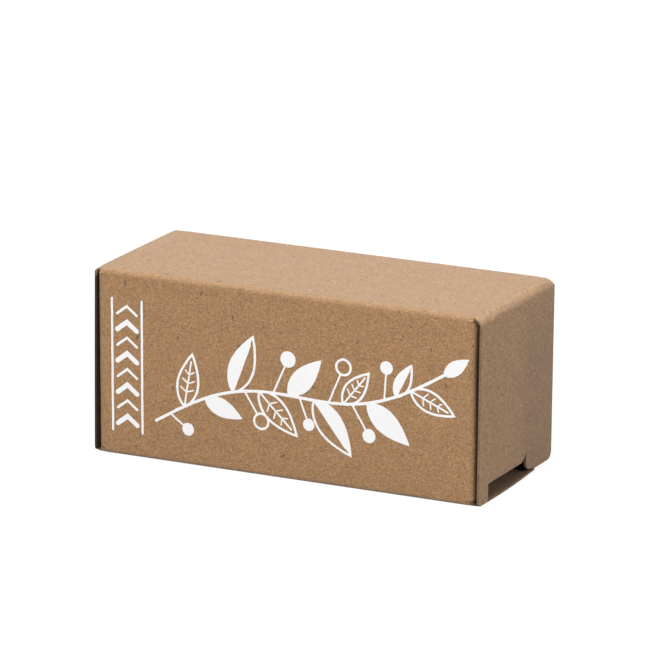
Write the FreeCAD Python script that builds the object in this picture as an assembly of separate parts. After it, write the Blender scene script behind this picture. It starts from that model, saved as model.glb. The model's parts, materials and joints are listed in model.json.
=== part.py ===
import FreeCAD, Part
import math
import os

# Kraft tuck carton with a pill fob keychain packed in it. All sizes are in millimetres.
# The carton lies on its long side: X runs along it, its front faces -Y and Z is up from where it lies.

# Carton
CARTON_LENGTH = 81.4
CARTON_DEPTH = 32.4
CARTON_HEIGHT = 36.6
CARD = 0.45  # thickness of the card
LONG_FOLD = 1.0  # outer radius of the four long creases
CLOSURE_FOLD = 1.5  # outer radius of the fold from the top panel into an end closure
DUST_FOLD = 2.0  # outer radius of the fold from a side panel into a dust flap
TONGUE_FOLD = 0.8  # outer radius of the fold from a closure into its tongue
SLIP = 0.35  # room between layers of card that slide past each other
SIDE_ROOM = 0.1  # room between the edge of a closure and the side panels
SCORE_GAP = 0.02  # hairline where a flap begins at its crease

# End closure: two legs hang beside a notch, and the tongue turns in at the notch's top edge
NOTCH_HEIGHT = 3.2
SHOULDER_DROP = 3.0  # height over which a closure widens below its fold
FRONT_LEG_WIDTH = 3.95
REAR_LEG_WIDTH = 12.25
LEG_ROOM = 0.1  # room under the legs
LEG_LIFT = 0.2  # room between the rear leg's inner corner and the bottom panel's tab
LEG_SLANT = 6.0  # length over which the rear leg's end comes down
LEG_CORNER = 1.2
SLIT_RUN = 1.0
SLIT_RISE = 1.3
TONGUE_LENGTH = 7.0
TONGUE_CORNER = 2.5
TONGUE_ROOM = 0.2
TAB_ROOM = 0.25  # room beside the bottom panel's tab and its narrowed ends
TAB_REACH = 1.0  # how far the tab runs under the rear leg

# Dust flaps
DUST_LENGTH = 9.7
DUST_BOTTOM = 3.0
DUST_TOP_DROP = 3.2
DUST_SHOULDER = 1.6
DUST_CORNER = 1.5
FOOT_ROOM = 0.15  # room under the folds that carry the dust flaps

# Glue flap inside the rear panel
GLUE_HEIGHT = 9.0
GLUE_INSET = 4.5

# Pill fob
FOB_DIAMETER = 15.0
FOB_REST = 0.25  # room under the fob
LUG_END_ROOM = 5.7  # room between the fob's lug and the carton's left end
NOSE_ROOM = 16.58  # room between the fob's domed end and the carton's right end
TUBE_WALL = 2.12
TUBE_FLOOR = 6.0  # thickness of the domed end at the fob's axis
RIM_GAP = 0.12
RIM_CHAMFER = 0.35
THREAD_FIT = 0.08
HEAD_LENGTH = 10.0
HEAD_CHAMFER = 1.0
NECK_LENGTH = 7.0
NECK_CHAMFER = 0.5
SEAL_WIRE = 1.3
SEAL_FIT = 0.08
SEAL_SIDE_ROOM = 0.1
LUG_LENGTH = 6.0
LUG_WIDTH = 6.8
LUG_THICKNESS = 2.0
LUG_HOLE = 3.4
LUG_ROOT = 0.5  # how far the lug runs into the head

# Chain, from the lug to the split ring
END_LINK_WIRE = 1.0
END_LINK_INSIDE = 4.4
END_LINK_WIDTH = 3.2
CHAIN_WIRE = 0.9
CHAIN_INSIDE = 4.2
CHAIN_WIDTH = 2.2
LINK_PLAY = 0.25
CHAIN_LAY = (95.0, 80.0, 42.0, -1.0)  # each link's slope from X towards Z, as it lies in the carton
WIRE_SIDES = 8  # flats round a wire that repeats

# Split ring: two flat turns of wire joined by a step
RING_SIDE_ROOM = 2.45  # room between the ring and the side panels
RING_WIRE_RADIAL = 1.5
RING_WIRE_HEIGHT = 1.0
RING_TURN_GAP = 0.1
RING_STEP_ANGLE = 24.0
RING_STEP_PLACE = 70.0
RING_REST = 0.3  # room between the ring and the fob that it lies on

HALF_LENGTH = CARTON_LENGTH / 2
HALF_DEPTH = CARTON_DEPTH / 2
CLOSURE_HALF_WIDTH = HALF_DEPTH - SIDE_ROOM
FLAT_HALF_WIDTH = HALF_DEPTH - LONG_FOLD  # half the width of the top and bottom between their creases
CLOSURE_TOP = CARTON_HEIGHT - CLOSURE_FOLD
FOLD_START = HALF_LENGTH - CLOSURE_FOLD  # where the top panel starts to turn down
DUST_PLANE = HALF_LENGTH - CARD - SLIP  # outer face of the dust flaps
WALL_END = DUST_PLANE - DUST_FOLD  # where the front and rear walls start to turn in
DUST_TOP = CARTON_HEIGHT - DUST_TOP_DROP
INSIDE_END = HALF_LENGTH - CARD - SIDE_ROOM  # as far as card reaches inside a closure
NOTCH_FRONT = -CLOSURE_HALF_WIDTH + FRONT_LEG_WIDTH
NOTCH_REAR = CLOSURE_HALF_WIDTH - REAR_LEG_WIDTH
TONGUE_FRONT = NOTCH_FRONT + TONGUE_ROOM
TONGUE_REAR = NOTCH_REAR - SLIT_RUN

FOB_RADIUS = FOB_DIAMETER / 2
BORE_RADIUS = FOB_RADIUS - TUBE_WALL
NECK_RADIUS = BORE_RADIUS - THREAD_FIT
FOB_AXIS = CARD + FOB_REST + FOB_RADIUS  # height of the fob's axis
LUG_END = -HALF_LENGTH + LUG_END_ROOM
HEAD_START = LUG_END + LUG_LENGTH
HEAD_END = HEAD_START + HEAD_LENGTH
TUBE_MOUTH = HEAD_END + RIM_GAP
TUBE_END = HALF_LENGTH - NOSE_ROOM
SEAL_SEAT = SEAL_WIRE + 2 * SEAL_SIDE_ROOM  # width of the groove that holds the seal
SEAL_MEAN_RADIUS = BORE_RADIUS + SEAL_FIT
RING_RADIUS = HALF_DEPTH - CARD - RING_SIDE_ROOM
RING_MEAN_RADIUS = RING_RADIUS - RING_WIRE_RADIAL / 2
RING_HEIGHT = 2 * RING_WIRE_HEIGHT + RING_TURN_GAP

X_AXIS = FreeCAD.Vector(1, 0, 0)
Y_AXIS = FreeCAD.Vector(0, 1, 0)
Z_AXIS = FreeCAD.Vector(0, 0, 1)
ORIGIN = FreeCAD.Vector(0, 0, 0)


def slab(low, high):
    size = [b - a for a, b in zip(low, high)]
    return Part.makeBox(*size, FreeCAD.Vector(*low))


def joined(shapes):
    return shapes[0].fuse(shapes[1:]).removeSplitter()


def mirrored_x(shape):
    return shape.mirror(ORIGIN, X_AXIS)


def mirrored_y(shape):
    return shape.mirror(ORIGIN, Y_AXIS)


def unit(angle_degrees):
    """A unit vector in the XZ plane, turned from X towards Z."""
    angle = math.radians(angle_degrees)
    return FreeCAD.Vector(math.cos(angle), 0, math.sin(angle))


def quarter_bend(centre, first, last, radius, run):
    """A quarter turn of card about centre, from the direction first to the direction last, drawn along run."""
    middle = (first + last) * math.sqrt(0.5)

    def arc(size):
        return Part.Arc(centre + first * size, centre + middle * size, centre + last * size).toShape()

    def side(direction):
        return Part.makeLine(centre + direction * radius, centre + direction * (radius - CARD))

    edges = [arc(radius), side(last), arc(radius - CARD), side(first)]
    return Part.Face(Part.Wire(edges)).extrude(run)


def rounded_face(corners, place):
    """A flat face with the corners (u, v, radius), where place turns (u, v) into a point in space."""
    edges = []
    joints = []
    count = len(corners)
    for index, (u, v, radius) in enumerate(corners):
        corner = FreeCAD.Vector(u, v, 0)
        before = FreeCAD.Vector(*corners[index - 1][:2], 0) - corner
        after = FreeCAD.Vector(*corners[(index + 1) % count][:2], 0) - corner
        half_angle = before.getAngle(after) / 2
        reach = radius / math.tan(half_angle)
        before.normalize()
        after.normalize()
        bisector = (before + after).normalize()
        nearest = corner + bisector * (radius / math.sin(half_angle) - radius)
        joints.append((corner + before * reach, nearest, corner + after * reach, radius))
    for index, (start, nearest, end, radius) in enumerate(joints):
        if radius > 0:
            edges.append(Part.Arc(place(start), place(nearest), place(end)).toShape())
        edges.append(Part.makeLine(place(end), place(joints[(index + 1) % count][0])))
    return Part.Face(Part.Wire(edges))


def turned(profile):
    """The solid that the edges of a closed profile, drawn above the fob's axis, sweep round that axis."""
    return Part.Face(Part.Wire(profile)).revolve(FreeCAD.Vector(0, 0, FOB_AXIS), X_AXIS, 360)


def above_axis(x, radius):
    return FreeCAD.Vector(x, 0, FOB_AXIS + radius)


def lines(points):
    return [Part.makeLine(a, b) for a, b in zip(points, points[1:])]


def top_panel():
    width = FLAT_HALF_WIDTH
    shapes = [slab((-FOLD_START, -width, CARTON_HEIGHT - CARD), (FOLD_START, width, CARTON_HEIGHT))]
    for side in (-1, 1):
        centre = FreeCAD.Vector(-FOLD_START, side * width, CARTON_HEIGHT - LONG_FOLD)
        shapes.append(quarter_bend(centre, Z_AXIS, Y_AXIS * side, LONG_FOLD, X_AXIS * (2 * FOLD_START)))
    for end in (-1, 1):
        centre = FreeCAD.Vector(end * FOLD_START, -width, CLOSURE_TOP)
        shapes.append(quarter_bend(centre, Z_AXIS, X_AXIS * end, CLOSURE_FOLD, Y_AXIS * (2 * width)))
    return joined(shapes)


def bottom_panel():
    """The floor, with narrowed ends and a tab on each that fills the foot of the closure's notch."""
    end_width = HALF_DEPTH - DUST_FOLD - TAB_ROOM
    reach = HALF_LENGTH - SIDE_ROOM
    shapes = [
        slab((-WALL_END, -FLAT_HALF_WIDTH, 0), (WALL_END, FLAT_HALF_WIDTH, CARD)),
        slab((-INSIDE_END, -end_width, 0), (INSIDE_END, end_width, CARD)),
        slab((-reach, NOTCH_FRONT + TAB_ROOM, 0), (reach, NOTCH_REAR + TAB_REACH, CARD)),
    ]
    for side in (-1, 1):
        centre = FreeCAD.Vector(-WALL_END, side * FLAT_HALF_WIDTH, LONG_FOLD)
        shapes.append(quarter_bend(centre, -Z_AXIS, Y_AXIS * side, LONG_FOLD, X_AXIS * (2 * WALL_END)))
    return joined(shapes)


def front_panel():
    """The front wall with its turned-in ends, which carry the dust flaps."""
    top = CARTON_HEIGHT - LONG_FOLD
    wall = slab((-WALL_END, -HALF_DEPTH, LONG_FOLD), (WALL_END, -HALF_DEPTH + CARD, top))
    centre = FreeCAD.Vector(WALL_END, -HALF_DEPTH + DUST_FOLD, FOOT_ROOM)
    bend = quarter_bend(centre, -Y_AXIS, X_AXIS, DUST_FOLD, Z_AXIS * (top - FOOT_ROOM))
    return joined([wall, bend, mirrored_x(bend)])


def glue_flap():
    """The seam's strip, glued to the inside of the rear panel, with its ends cut back at a slant."""
    low = LONG_FOLD
    high = LONG_FOLD + GLUE_HEIGHT
    reach = INSIDE_END - GLUE_INSET
    corners = [(-reach, low, 0), (reach, low, 0), (reach - GLUE_INSET, high, 0), (-reach + GLUE_INSET, high, 0)]
    rear = HALF_DEPTH - CARD
    face = rounded_face(corners, lambda p: FreeCAD.Vector(p.x, rear, p.y))
    return face.extrude(Y_AXIS * -CARD)


def closure_panel():
    bend_top = NOTCH_HEIGHT + TONGUE_FOLD
    top = CLOSURE_TOP - SCORE_GAP
    width = CLOSURE_HALF_WIDTH
    shoulder = top - SHOULDER_DROP
    corners = [
        (-FLAT_HALF_WIDTH, top, 0), (-width, shoulder, 0), (-width, LEG_ROOM, LEG_CORNER / 2),
        (NOTCH_FRONT, LEG_ROOM, LEG_CORNER / 2), (NOTCH_FRONT, bend_top, 0), (TONGUE_REAR, bend_top, 0),
        (NOTCH_REAR, bend_top + SLIT_RISE, 0), (NOTCH_REAR, CARD + LEG_LIFT, LEG_CORNER),
        (NOTCH_REAR + LEG_SLANT, LEG_ROOM, 0), (width, LEG_ROOM, LEG_CORNER), (width, shoulder, 0),
        (FLAT_HALF_WIDTH, top, 0),
    ]
    face = rounded_face(corners, lambda p: FreeCAD.Vector(HALF_LENGTH, p.x, p.y))
    centre = FreeCAD.Vector(HALF_LENGTH - TONGUE_FOLD, TONGUE_FRONT, bend_top)
    bend = quarter_bend(centre, X_AXIS, -Z_AXIS, TONGUE_FOLD, Y_AXIS * (TONGUE_REAR - TONGUE_FRONT))
    return joined([face.extrude(X_AXIS * -CARD), bend])


def tuck_tongue():
    root = HALF_LENGTH - TONGUE_FOLD - SCORE_GAP
    tip = root - TONGUE_LENGTH
    corners = [(root, TONGUE_FRONT, 0), (root, TONGUE_REAR, 0), (tip, TONGUE_REAR, TONGUE_CORNER),
               (tip, TONGUE_FRONT, TONGUE_CORNER)]
    face = rounded_face(corners, lambda p: FreeCAD.Vector(p.x, p.y, NOTCH_HEIGHT))
    return face.extrude(Z_AXIS * CARD)


def front_dust_flap():
    root = -HALF_DEPTH + DUST_FOLD + SCORE_GAP
    tip = root + DUST_LENGTH
    shoulder = DUST_BOTTOM + DUST_SHOULDER
    slope_end = DUST_TOP - DUST_LENGTH
    corners = [(root, DUST_BOTTOM, 0), (root + DUST_SHOULDER, shoulder, 0), (tip, shoulder, DUST_CORNER),
               (tip, slope_end, DUST_CORNER), (root, DUST_TOP, 0)]
    face = rounded_face(corners, lambda p: FreeCAD.Vector(DUST_PLANE, p.x, p.y))
    return face.extrude(X_AXIS * -CARD)


def pill_tube():
    """The hollow body: an open mouth with a seat for the seal, a flat-bottomed bore and a domed end."""
    dome = TUBE_END - FOB_RADIUS
    middle = FOB_RADIUS * math.sqrt(0.5)
    seat_radius = SEAL_MEAN_RADIUS + SEAL_WIRE / 2 + SEAL_FIT
    seat_end = HEAD_END + SEAL_SEAT
    bore_end = TUBE_END - TUBE_FLOOR
    outside = [above_axis(TUBE_MOUTH, seat_radius), above_axis(TUBE_MOUTH, FOB_RADIUS), above_axis(dome, FOB_RADIUS)]
    nose = Part.Arc(above_axis(dome, FOB_RADIUS), above_axis(dome + middle, middle), above_axis(TUBE_END, 0))
    inside = [above_axis(TUBE_END, 0), above_axis(bore_end, 0), above_axis(bore_end, BORE_RADIUS),
              above_axis(seat_end, BORE_RADIUS), above_axis(seat_end, seat_radius), above_axis(TUBE_MOUTH, seat_radius)]
    return turned(lines(outside) + [nose.toShape()] + lines(inside))


def screw_cap():
    """The head with its neck, which takes the thread, and the lug that carries the chain."""
    groove_radius = SEAL_MEAN_RADIUS - SEAL_WIRE / 2 - SEAL_FIT
    neck_end = HEAD_END + NECK_LENGTH
    points = [(HEAD_START, 0), (HEAD_START, FOB_RADIUS - HEAD_CHAMFER), (HEAD_START + HEAD_CHAMFER, FOB_RADIUS),
              (HEAD_END - RIM_CHAMFER, FOB_RADIUS), (HEAD_END, FOB_RADIUS - RIM_CHAMFER), (HEAD_END, groove_radius),
              (HEAD_END + SEAL_SEAT, groove_radius), (HEAD_END + SEAL_SEAT, NECK_RADIUS),
              (neck_end - NECK_CHAMFER, NECK_RADIUS), (neck_end, NECK_RADIUS - NECK_CHAMFER), (neck_end, 0),
              (HEAD_START, 0)]
    body = turned(lines([above_axis(x, radius) for x, radius in points]))
    half = LUG_WIDTH / 2
    eye = LUG_END + half
    root = HEAD_START + LUG_ROOT
    start = Y_AXIS * (-LUG_THICKNESS / 2)
    plate = slab((eye, -LUG_THICKNESS / 2, FOB_AXIS - half), (root, LUG_THICKNESS / 2, FOB_AXIS + half))
    eye_point = above_axis(eye, 0) + start
    lug = plate.fuse(Part.makeCylinder(half, LUG_THICKNESS, eye_point, Y_AXIS))
    hole = Part.makeCylinder(LUG_HOLE / 2, LUG_THICKNESS, eye_point, Y_AXIS)
    return joined([body, lug]).cut(hole)


def wire_section(centre, thickness, across):
    """The section of a round wire, with flat sides, in the plane of the direction across and Z."""
    points = []
    for index in range(WIRE_SIDES + 1):
        turn = unit(360 * (index + 0.5) / WIRE_SIDES) * (thickness / 2)
        points.append(centre + across * turn.x + Z_AXIS * turn.z)
    return Part.Face(Part.makePolygon(points))


def seal_ring():
    middle = above_axis(HEAD_END + SEAL_SEAT / 2, SEAL_MEAN_RADIUS)
    return wire_section(middle, SEAL_WIRE, X_AXIS).revolve(above_axis(0, 0), X_AXIS, 360)


def oval_link(inside, width, wire):
    """A chain link lying along X in the XY plane, with the wire of its first end at the origin."""
    bend = (width + wire) / 2
    far = inside + wire - bend
    shapes = []
    for side in (-1, 1):
        leg = wire_section(FreeCAD.Vector(bend, side * bend, 0), wire, Y_AXIS)
        shapes.append(leg.extrude(X_AXIS * (far - bend)))
    for middle, side in ((bend, 1), (far, -1)):
        turn = wire_section(FreeCAD.Vector(middle, side * bend, 0), wire, Y_AXIS)
        shapes.append(turn.revolve(FreeCAD.Vector(middle, 0, 0), Z_AXIS, 180))
    return joined(shapes)


def end_link_seat(thickness):
    """How far an end link's round end stands off what it grips, at the edges of that thickness."""
    bend = (END_LINK_WIDTH + END_LINK_WIRE) / 2
    return LINK_PLAY + bend - math.sqrt(bend ** 2 - (thickness / 2) ** 2)


def chain_route():
    """Each link's start, its slope and whether it stands in the XZ plane, and the pivot that it swings about."""
    route = []
    slope = CHAIN_LAY[0]
    play = LUG_HOLE / 2 - END_LINK_WIRE / 2 - end_link_seat(LUG_THICKNESS)
    start = above_axis(LUG_END + LUG_WIDTH / 2, 0) + unit(slope) * play
    pivot = start
    last = len(CHAIN_LAY) - 1
    for index, slope in enumerate(CHAIN_LAY):
        upright = index % 2 == 1
        end_link = index in (0, last)
        wire = END_LINK_WIRE if end_link else CHAIN_WIRE
        inside = END_LINK_INSIDE if end_link else CHAIN_INSIDE
        if index > 0:
            grip = (wire + wire_before) / 2 + LINK_PLAY
            start = end - unit(slope if upright else slope_before) * grip
            pivot = end if upright else start
        end = start + unit(slope) * (inside + wire)
        route.append((start, slope, upright, end_link, pivot))
        wire_before = wire
        slope_before = slope
    return route, end


def placed_link(start, slope, upright, end_link):
    shape = oval_link(END_LINK_INSIDE, END_LINK_WIDTH, END_LINK_WIRE) if end_link \
        else oval_link(CHAIN_INSIDE, CHAIN_WIDTH, CHAIN_WIRE)
    if upright:
        shape.rotate(ORIGIN, X_AXIS, 90)
    shape.rotate(ORIGIN, Y_AXIS, -slope)
    shape.translate(start)
    return shape


def ring_pivot(chain_end):
    reach = END_LINK_WIRE / 2 + RING_WIRE_RADIAL / 2 + end_link_seat(RING_HEIGHT)
    return chain_end - unit(CHAIN_LAY[-1]) * reach


def split_ring(pivot):
    """Two turns of flat wire, one above the other, with a step where the wire climbs between them."""
    half_step = RING_STEP_ANGLE / 2
    inner = RING_MEAN_RADIUS - RING_WIRE_RADIAL / 2
    outer = RING_MEAN_RADIUS + RING_WIRE_RADIAL / 2

    def section(level):
        low = level - RING_WIRE_HEIGHT / 2
        high = level + RING_WIRE_HEIGHT / 2
        points = [(inner, low), (outer, low), (outer, high), (inner, high), (inner, low)]
        return Part.makePolygon([FreeCAD.Vector(x, 0, z) for x, z in points])

    rise = (RING_WIRE_HEIGHT + RING_TURN_GAP) / 2
    shapes = []
    for level in (-rise, rise):
        turn = Part.Face(section(level)).revolve(ORIGIN, Z_AXIS, 360 - RING_STEP_ANGLE)
        turn.rotate(ORIGIN, Z_AXIS, half_step)
        shapes.append(turn)
    step_start = section(-rise)
    step_start.rotate(ORIGIN, Z_AXIS, -half_step)
    step_end = section(rise)
    step_end.rotate(ORIGIN, Z_AXIS, half_step)
    shapes.append(Part.makeLoft([step_start, step_end], True, True))
    drop = pivot.z - RING_HEIGHT / 2 - RING_REST - FOB_AXIS - FOB_RADIUS
    dip = math.degrees(math.asin(drop / (2 * RING_MEAN_RADIUS)))
    ring = joined(shapes)
    ring.rotate(ORIGIN, Z_AXIS, RING_STEP_PLACE)
    ring.translate(X_AXIS * RING_MEAN_RADIUS)
    ring.rotate(ORIGIN, Y_AXIS, dip)
    ring.translate(pivot)
    return ring


front = front_panel()
front_flap = front_dust_flap()
right_end = {
    "closure_panel": closure_panel(),
    "tuck_tongue": tuck_tongue(),
    "front_dust_flap": front_flap,
    "rear_dust_flap": mirrored_y(front_flap),
}
pieces = {
    "top_panel": top_panel(),
    "front_panel": front,
    "rear_panel": mirrored_y(front),
    "bottom_panel": bottom_panel(),
    "glue_flap": glue_flap(),
}
for name, shape in right_end.items():
    pieces["right_" + name] = shape
    pieces["left_" + name] = mirrored_x(shape)
pieces["pill_tube"] = pill_tube()
pieces["screw_cap"] = screw_cap()
pieces["seal_ring"] = seal_ring()

route, chain_end = chain_route()
for index, (start, slope, upright, end_link, pivot) in enumerate(route):
    if index == 0:
        name = "lug_link"
    elif end_link:
        name = "ring_link"
    else:
        name = f"chain_link_{index}"
    pieces[name] = placed_link(start, slope, upright, end_link)
    print(f"{name} swings about x {pivot.x:.3f}, z {pivot.z:.3f}")
pivot = ring_pivot(chain_end)
pieces["split_ring"] = split_ring(pivot)
print(f"split_ring swings about x {pivot.x:.3f}, z {pivot.z:.3f}")

os.makedirs("parts", exist_ok=True)
for name, shape in pieces.items():
    solids = len(shape.Solids)
    print(f"{name}: {solids} solid, valid {shape.isValid()}, {shape.Volume:.1f} cubic mm")
    shape.exportStep(f"parts/{name}.step")
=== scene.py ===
import json
import math

import bmesh
import bpy
from mathutils import Matrix, Vector, noise


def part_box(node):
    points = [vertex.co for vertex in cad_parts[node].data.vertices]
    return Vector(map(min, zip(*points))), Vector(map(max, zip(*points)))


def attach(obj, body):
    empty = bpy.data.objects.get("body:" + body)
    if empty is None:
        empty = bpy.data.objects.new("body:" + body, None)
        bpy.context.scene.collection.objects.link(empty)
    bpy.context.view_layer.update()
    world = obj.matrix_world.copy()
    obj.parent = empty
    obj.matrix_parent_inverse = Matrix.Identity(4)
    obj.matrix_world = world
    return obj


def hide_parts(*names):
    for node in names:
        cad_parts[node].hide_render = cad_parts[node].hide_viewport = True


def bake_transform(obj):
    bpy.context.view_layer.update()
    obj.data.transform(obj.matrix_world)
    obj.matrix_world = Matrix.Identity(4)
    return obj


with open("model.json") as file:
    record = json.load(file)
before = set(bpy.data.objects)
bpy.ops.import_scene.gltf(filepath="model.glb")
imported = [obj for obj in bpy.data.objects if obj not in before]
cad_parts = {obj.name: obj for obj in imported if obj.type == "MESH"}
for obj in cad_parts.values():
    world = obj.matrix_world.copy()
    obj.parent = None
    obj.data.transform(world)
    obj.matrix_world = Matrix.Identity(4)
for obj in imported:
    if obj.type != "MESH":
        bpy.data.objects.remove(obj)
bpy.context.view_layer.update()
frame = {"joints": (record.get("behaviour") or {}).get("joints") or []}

# The object's sizes are in millimetres, in the model's own frame, and become metres as each mesh is made.
MM = 0.001

# Carton
HALF_LENGTH = 40.7
HALF_DEPTH = 16.2
HEIGHT = 36.6
CARD = 0.45
LONG_FOLD = 1.0
CLOSURE_FOLD = 1.5
DUST_FOLD = 2.0
TONGUE_FOLD = 0.8
FOLD_START = HALF_LENGTH - CLOSURE_FOLD
CLOSURE_TOP = HEIGHT - CLOSURE_FOLD
CLOSURE_HALF_WIDTH = 16.1
CLOSURE_ROOT = 15.75  # half the width of a closure where it leaves the top
DUST_PLANE = 39.9
WALL_END = DUST_PLANE - DUST_FOLD
DUST_BOTTOM = 3.0
DUST_TOP = 33.4
DUST_LENGTH = 9.7
DUST_SHOULDER = 1.6
DUST_CORNER = 1.5
INSIDE_END = 40.15
TAB_END = 40.6
TAB_ROOM = 0.25
TAB_REACH = 4.4
NOTCH_HEIGHT = 3.2
NOTCH_FRONT = -12.15
NOTCH_REAR = 4.4
LEG_ROOM = 0.1
LEG_LIFT = 1.9  # height of the rear leg's corner beside the notch
LEG_SLANT = 4.4
LEG_RISE = 0.95  # how much shorter the rear leg is than the front one
LEG_CORNER = 1.6
FRONT_LEG_CORNER = 0.8
NOTCH_CORNER = 1.6  # of the rear leg, beside the notch
SLIT_RISE = 1.3
TONGUE_FRONT = -11.95
TONGUE_REAR = 3.2
TONGUE_LENGTH = 7.0
TONGUE_CORNER = 2.5
GLUE_HEIGHT = 9.0
GLUE_INSET = 4.5
SLIT = 0.05  # hairline left open at the glued seam and where a fold is cut free
FOLD_STEPS = 6
SHEET_SPACING = 40  # sheets lie this far apart in the grain, so no two are alike
PANEL_STEP = 3.0  # spacing of the cuts that let a panel bow
BOW = 0.14  # how far a panel bows out of flat
BOW_EDGE = 5.0  # the bow dies out this far from an edge
BOW_WAVELENGTH = 26.0
BOW_SEED = 3.7
SPRING = {"right": (0.4, 0.0), "left": (-0.3, 0.1)}  # how far a closure stands out at its fold and its foot
CLOSURE_FRONT = {"right": 16.1, "left": 15.6}  # how far each closure reaches towards the front
SHADED_EDGE = {"right": 0.0, "left": 1.0}  # width of the painted shade along the front edge inside each closure
CLOSURE_BULGE = 0.4  # how far a closure stands out in its middle
END_CURL = 0.6  # how far the bottom's ends curl up at the rear of their tabs
BOTTOM_SHADE = 0.5  # painted shade: how dark the bottom's ends are inside
FOLD_PAINTED_SHADE = 0.7  # darkness of the painted shade in the dust flaps' folds
FOLD_SHADE_RUN = {"right": 7.0, "left": 1.5}  # that painted shade deepens over this length from the top
FOLD_SHADE_FROM = 0.4  # shares of the way round a dust flap's fold between which its painted shade is dark
FOLD_SHADE_TO = 1.3
FOLD_SHADE_FADE = 0.3
FOOT_SHADE_START = 0.6  # at the right end, the lower long folds carry painted shade from this far past the walls
LIGHT_CREASE = 0.4  # how creased the card is beside a fold, and how far over a flap that reaches
CREASE_EDGE = 0.5  # how far over a panel it reaches
SHADE_START = 36.0  # the bottom's ends curl up and carry painted shade from here outwards
CURL_RUN = 4.0
SHADE_RUN = 2.0
TAB_SHADE_RUN = 1.6  # the painted shade thins out over this length, which ends just past a tab's end
TAB_SHADE_PAST = 0.4
SHADE_TOP = 0.3  # the painted shade along a closure's front edge starts this far below its fold
OUTER_SHADE = 0.1  # share of that painted shade's width that shows outside
EDGE_SLACK = 0.01  # leaves points on the painted shade's own border out of it
REAR_PAINTED_SHADE = 0.2  # painted shade: how much darker a closure is behind its notch
REAR_SHADE_RUN = 0.25  # share of a closure's height over which that painted shade deepens
TURN_LIMIT = 0.9  # the long folds follow a dust flap's fold out to this share of its radius
END_CUTS = (0, 0.35, 0.7)  # cuts past the walls' ends, as shares of the way to the closures
ROOT_CUTS = (0, 0.25, 0.5, 0.7)  # cuts near a closure's sides, outwards from where the long folds begin
EDGE_CUTS = (0.3, 1.2)  # cuts along a closure's front edge
SHADE_CUT = 1.0  # cut below a closure's fold
FRONT_SINK = 0.5  # the top's corners are pressed down this far at the front, and less at the rear
REAR_SINK = 0.15
CORNER_REACH = 5.0

# Fob
FOB_RADIUS = 7.5
FOB_AXIS = 8.2
HEAD_START = -29.0
HEAD_END = -19.0
TUBE_MOUTH = -18.88
TUBE_END = 24.12
TUBE_FLOOR = 6.0
BORE_RADIUS = 5.38
SEAT_RADIUS = 6.19
SEAT_END = -17.5
GROOVE_RADIUS = 4.73
NECK_RADIUS = 5.3
NECK_END = -12.0
THREAD_PITCH = 1.5
THREAD_DEPTH = 0.5
SEAL_RADIUS = 5.46
SEAL_WIRE = 1.3
LUG_END = -35.0
LUG_WIDTH = 6.8
LUG_THICKNESS = 2.0
LUG_HOLE = 3.4
LUG_ROOT = -28.6
EDGE_BREAK = 0.3
SEAT_CHAMFER = 0.15
BORE_CORNER = 0.6
HEAD_ROUND = 1.0
HEAD_STEPS = 6
NOSE_STEPS = 24
COLLAR_STEP = 0.1  # the collar beside the seal is this much less than the neck
COLLAR_RUN = 0.3
NECK_CHAMFER = 0.5
THREAD_START_ROOM = 0.6
THREAD_END_ROOM = 0.7
THREAD_SINK = 0.1  # how far the ridge's root lies inside the core
THREAD_RISE = 0.09  # how much taller the ridge is for that
THREAD_ROOT = 0.55  # half the ridge's width at its root and at its crest
THREAD_CREST = 0.12
THREAD_TIP = 0.15  # share of the ridge's height left at its two ends
THREAD_STEPS = 40  # in each turn
THREAD_FADE_STEPS = 12

# Chain and split ring
END_LINK = {"inside": 4.4, "width": 3.2, "wire": 1.0}
SMALL_LINK = {"inside": 4.2, "width": 2.2, "wire": 0.9}
CHAIN = {  # slope from X towards Z, whether the link stands upright, and its sizes
    "lug_link": (95.0, False, END_LINK),
    "chain_link_1": (80.0, True, SMALL_LINK),
    "chain_link_2": (42.0, False, SMALL_LINK),
    "ring_link": (-1.0, True, END_LINK),
}
RING_RADIUS = 12.55
RING_WIRE_RADIAL = 1.5
RING_WIRE_HEIGHT = 1.0
RING_RISE = 0.55
RING_STEP_ANGLE = 24.0
RING_STEP_PLACE = 70.0
RING_REST = 0.3
WIRE_EDGE = 0.22

# Print on the front
INK_LIFT = 0.03
INK_STEP = 0.003  # how much higher each further layer of ink lies
INK_SINK = 0.01
INK_WOBBLE = 0.05  # unevenness of the ink's edges
WOBBLE_SCALE = 1.3  # waves of it in a millimetre
WOBBLE_SEED = 1  # without a fixed one, the ink's edges would differ from run to run
LINE = 0.46  # width of the drawn lines
LINE_STEP = 1.0
FINE = 0.8  # width of stalks and spines, as a share of a line's
VEIN = 0.6
STEM = 1.25
MITRE_LIMIT = 0.5
END_ANGLES = (0.5, 1.0, 1.5)  # steps round a line's end
DISC_STEPS = 24
RING_STEPS = 40
STEM_STEPS = 60
STEM_FOOT = (-27.0, 8.0)
STEM_SPAN = (61.0, 17.0)
STEM_WAVE = 3.2
HEADING_STEP = 0.01
LEAF_TIP = 0.02
LEAF_LEAN = 0.8  # below one, a leaf is widest before its middle
LEAF_ROUND = 0.9
SPINE_SHARE = 0.86  # how far along a leaf its spine is drawn
VEIN_ROWS = (5, 8, 11)
VEIN_SHARE = 0.62  # how far towards the leaf's edge a vein is drawn
BERRY_TURN = 66  # degrees from the stem to a stalk
CHEVRON_MIDDLE = -33.2
CHEVRON_HALF_WIDTH = 2.1
CHEVRON_RISE = 1.6
CHEVRON_WIDTHS = (0.95, 0.5)
BAND_HALF_WIDTH = 3.2
BAND_ENDS = (5.0, 31.0)

X_AXIS = Vector((1, 0, 0))
Y_AXIS = Vector((0, 1, 0))
Z_AXIS = Vector((0, 0, 1))


def clamped(value):
    return min(max(value, 0.0), 1.0)


# Node helpers

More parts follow.
